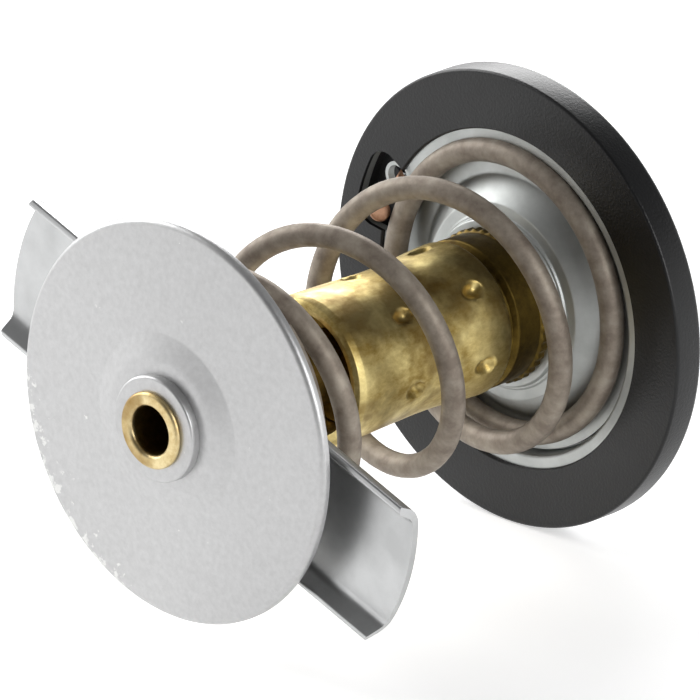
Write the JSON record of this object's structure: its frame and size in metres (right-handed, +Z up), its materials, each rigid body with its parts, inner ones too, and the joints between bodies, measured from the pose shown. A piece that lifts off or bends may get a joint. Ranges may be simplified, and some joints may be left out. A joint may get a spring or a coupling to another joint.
{
  "type": "engine thermostat",
  "caption": "Bypass thermostat insert: rubber sealed flange, stepped valve plate, wax element, coil spring, channel crossbar and dished bypass disc",
  "frame": {"origin": "On the axis, halfway through the rubber seal ring", "axes": "+Y along the axis from the bypass disc to the far side of the flange, +Z up with the part lying on its side, +X across"},
  "size_m": [0.0784, 0.0963, 0.067],
  "materials": {
    "seal_rubber": "moulded, matt",
    "bright_steel": "bright stainless sheet",
    "pressed_steel": "satin pressed sheet",
    "spring_wire": "drawn wire, satin",
    "polished_rod": "polished",
    "brass": "drawn, slightly dull",
    "dark_brass": "turned, tarnished",
    "copper": "bare copper",
    "copper_wax": "wax with copper powder",
    "white_plastic": "turned plastic"
  },
  "bodies": {
    "flange": {"seal_ring": "seal_rubber", "flange_plate": "bright_steel", "stirrup": "bright_steel", "piston_seat": "bright_steel", "piston": "polished_rod"},
    "valve": {"valve_plate": "bright_steel", "backing_washer": "bright_steel", "guide_body": "dark_brass", "piston_seal": "seal_rubber", "support_ring": "white_plastic", "rubber_sleeve": "seal_rubber", "wax_charge": "copper_wax", "element_case": "brass", "end_plug": "brass", "stem_tube": "brass", "stop_ring": "spring_wire", "spring_seat": "pressed_steel", "hub_washer": "pressed_steel", "main_spring": "spring_wire", "bypass_spring": "spring_wire"},
    "bar": {"crossbar": "pressed_steel"},
    "disc": {"bypass_disc": "pressed_steel"},
    "pin": {"jiggle_pin": "copper"}
  },
  "joints": [
    {"name": "valve_lift", "type": "slide", "parent": "flange", "child": "valve", "axis": [0, -1, 0], "range_m": [0, 0.01]},
    {"name": "crossbar_slide", "type": "slide", "parent": "valve", "child": "bar", "axis": [0, 1, 0], "range_m": [0, 0.01], "stiffness_N_per_m": 7800, "springref_m": -0.0154, "deforming": ["main_spring"]},
    {"name": "disc_slide", "type": "slide", "parent": "valve", "child": "disc", "axis": [0, 1, 0], "range_m": [0, 0.0018], "stiffness_N_per_m": 2000, "springref_m": -0.003, "deforming": ["bypass_spring"]},
    {"name": "jiggle_slide", "type": "slide", "parent": "flange", "child": "pin", "axis": [-0.1042, -0.6157, -0.7811], "range_m": [-0.0018, 0]}
  ]
}
